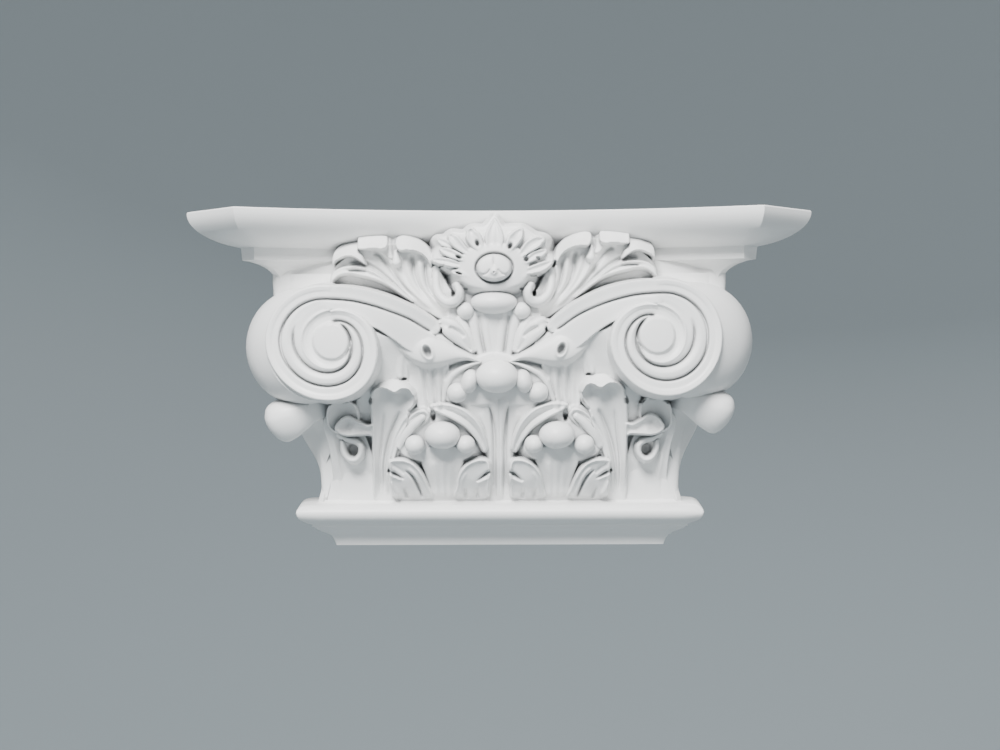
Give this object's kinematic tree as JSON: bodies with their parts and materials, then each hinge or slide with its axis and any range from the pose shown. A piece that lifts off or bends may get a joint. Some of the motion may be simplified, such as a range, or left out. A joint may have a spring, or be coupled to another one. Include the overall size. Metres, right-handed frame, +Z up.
{
  "type": "pilaster capital",
  "caption": "Composite capital for the head of a flat pilaster: volutes, acanthus leaves and buds under a hollow-sided abacus, flat at the back.",
  "frame": {"origin": "middle of the flat back face, which fixes to the wall", "axes": "+X to the right along the wall, -Y out of the wall towards the viewer, +Z up"},
  "size_m": [0.309, 0.082, 0.168],
  "materials": {
    "moulded_white": "smooth factory-primed white"
  },
  "bodies": {
    "root": {"capital": "moulded_white"}
  },
  "joints": []
}
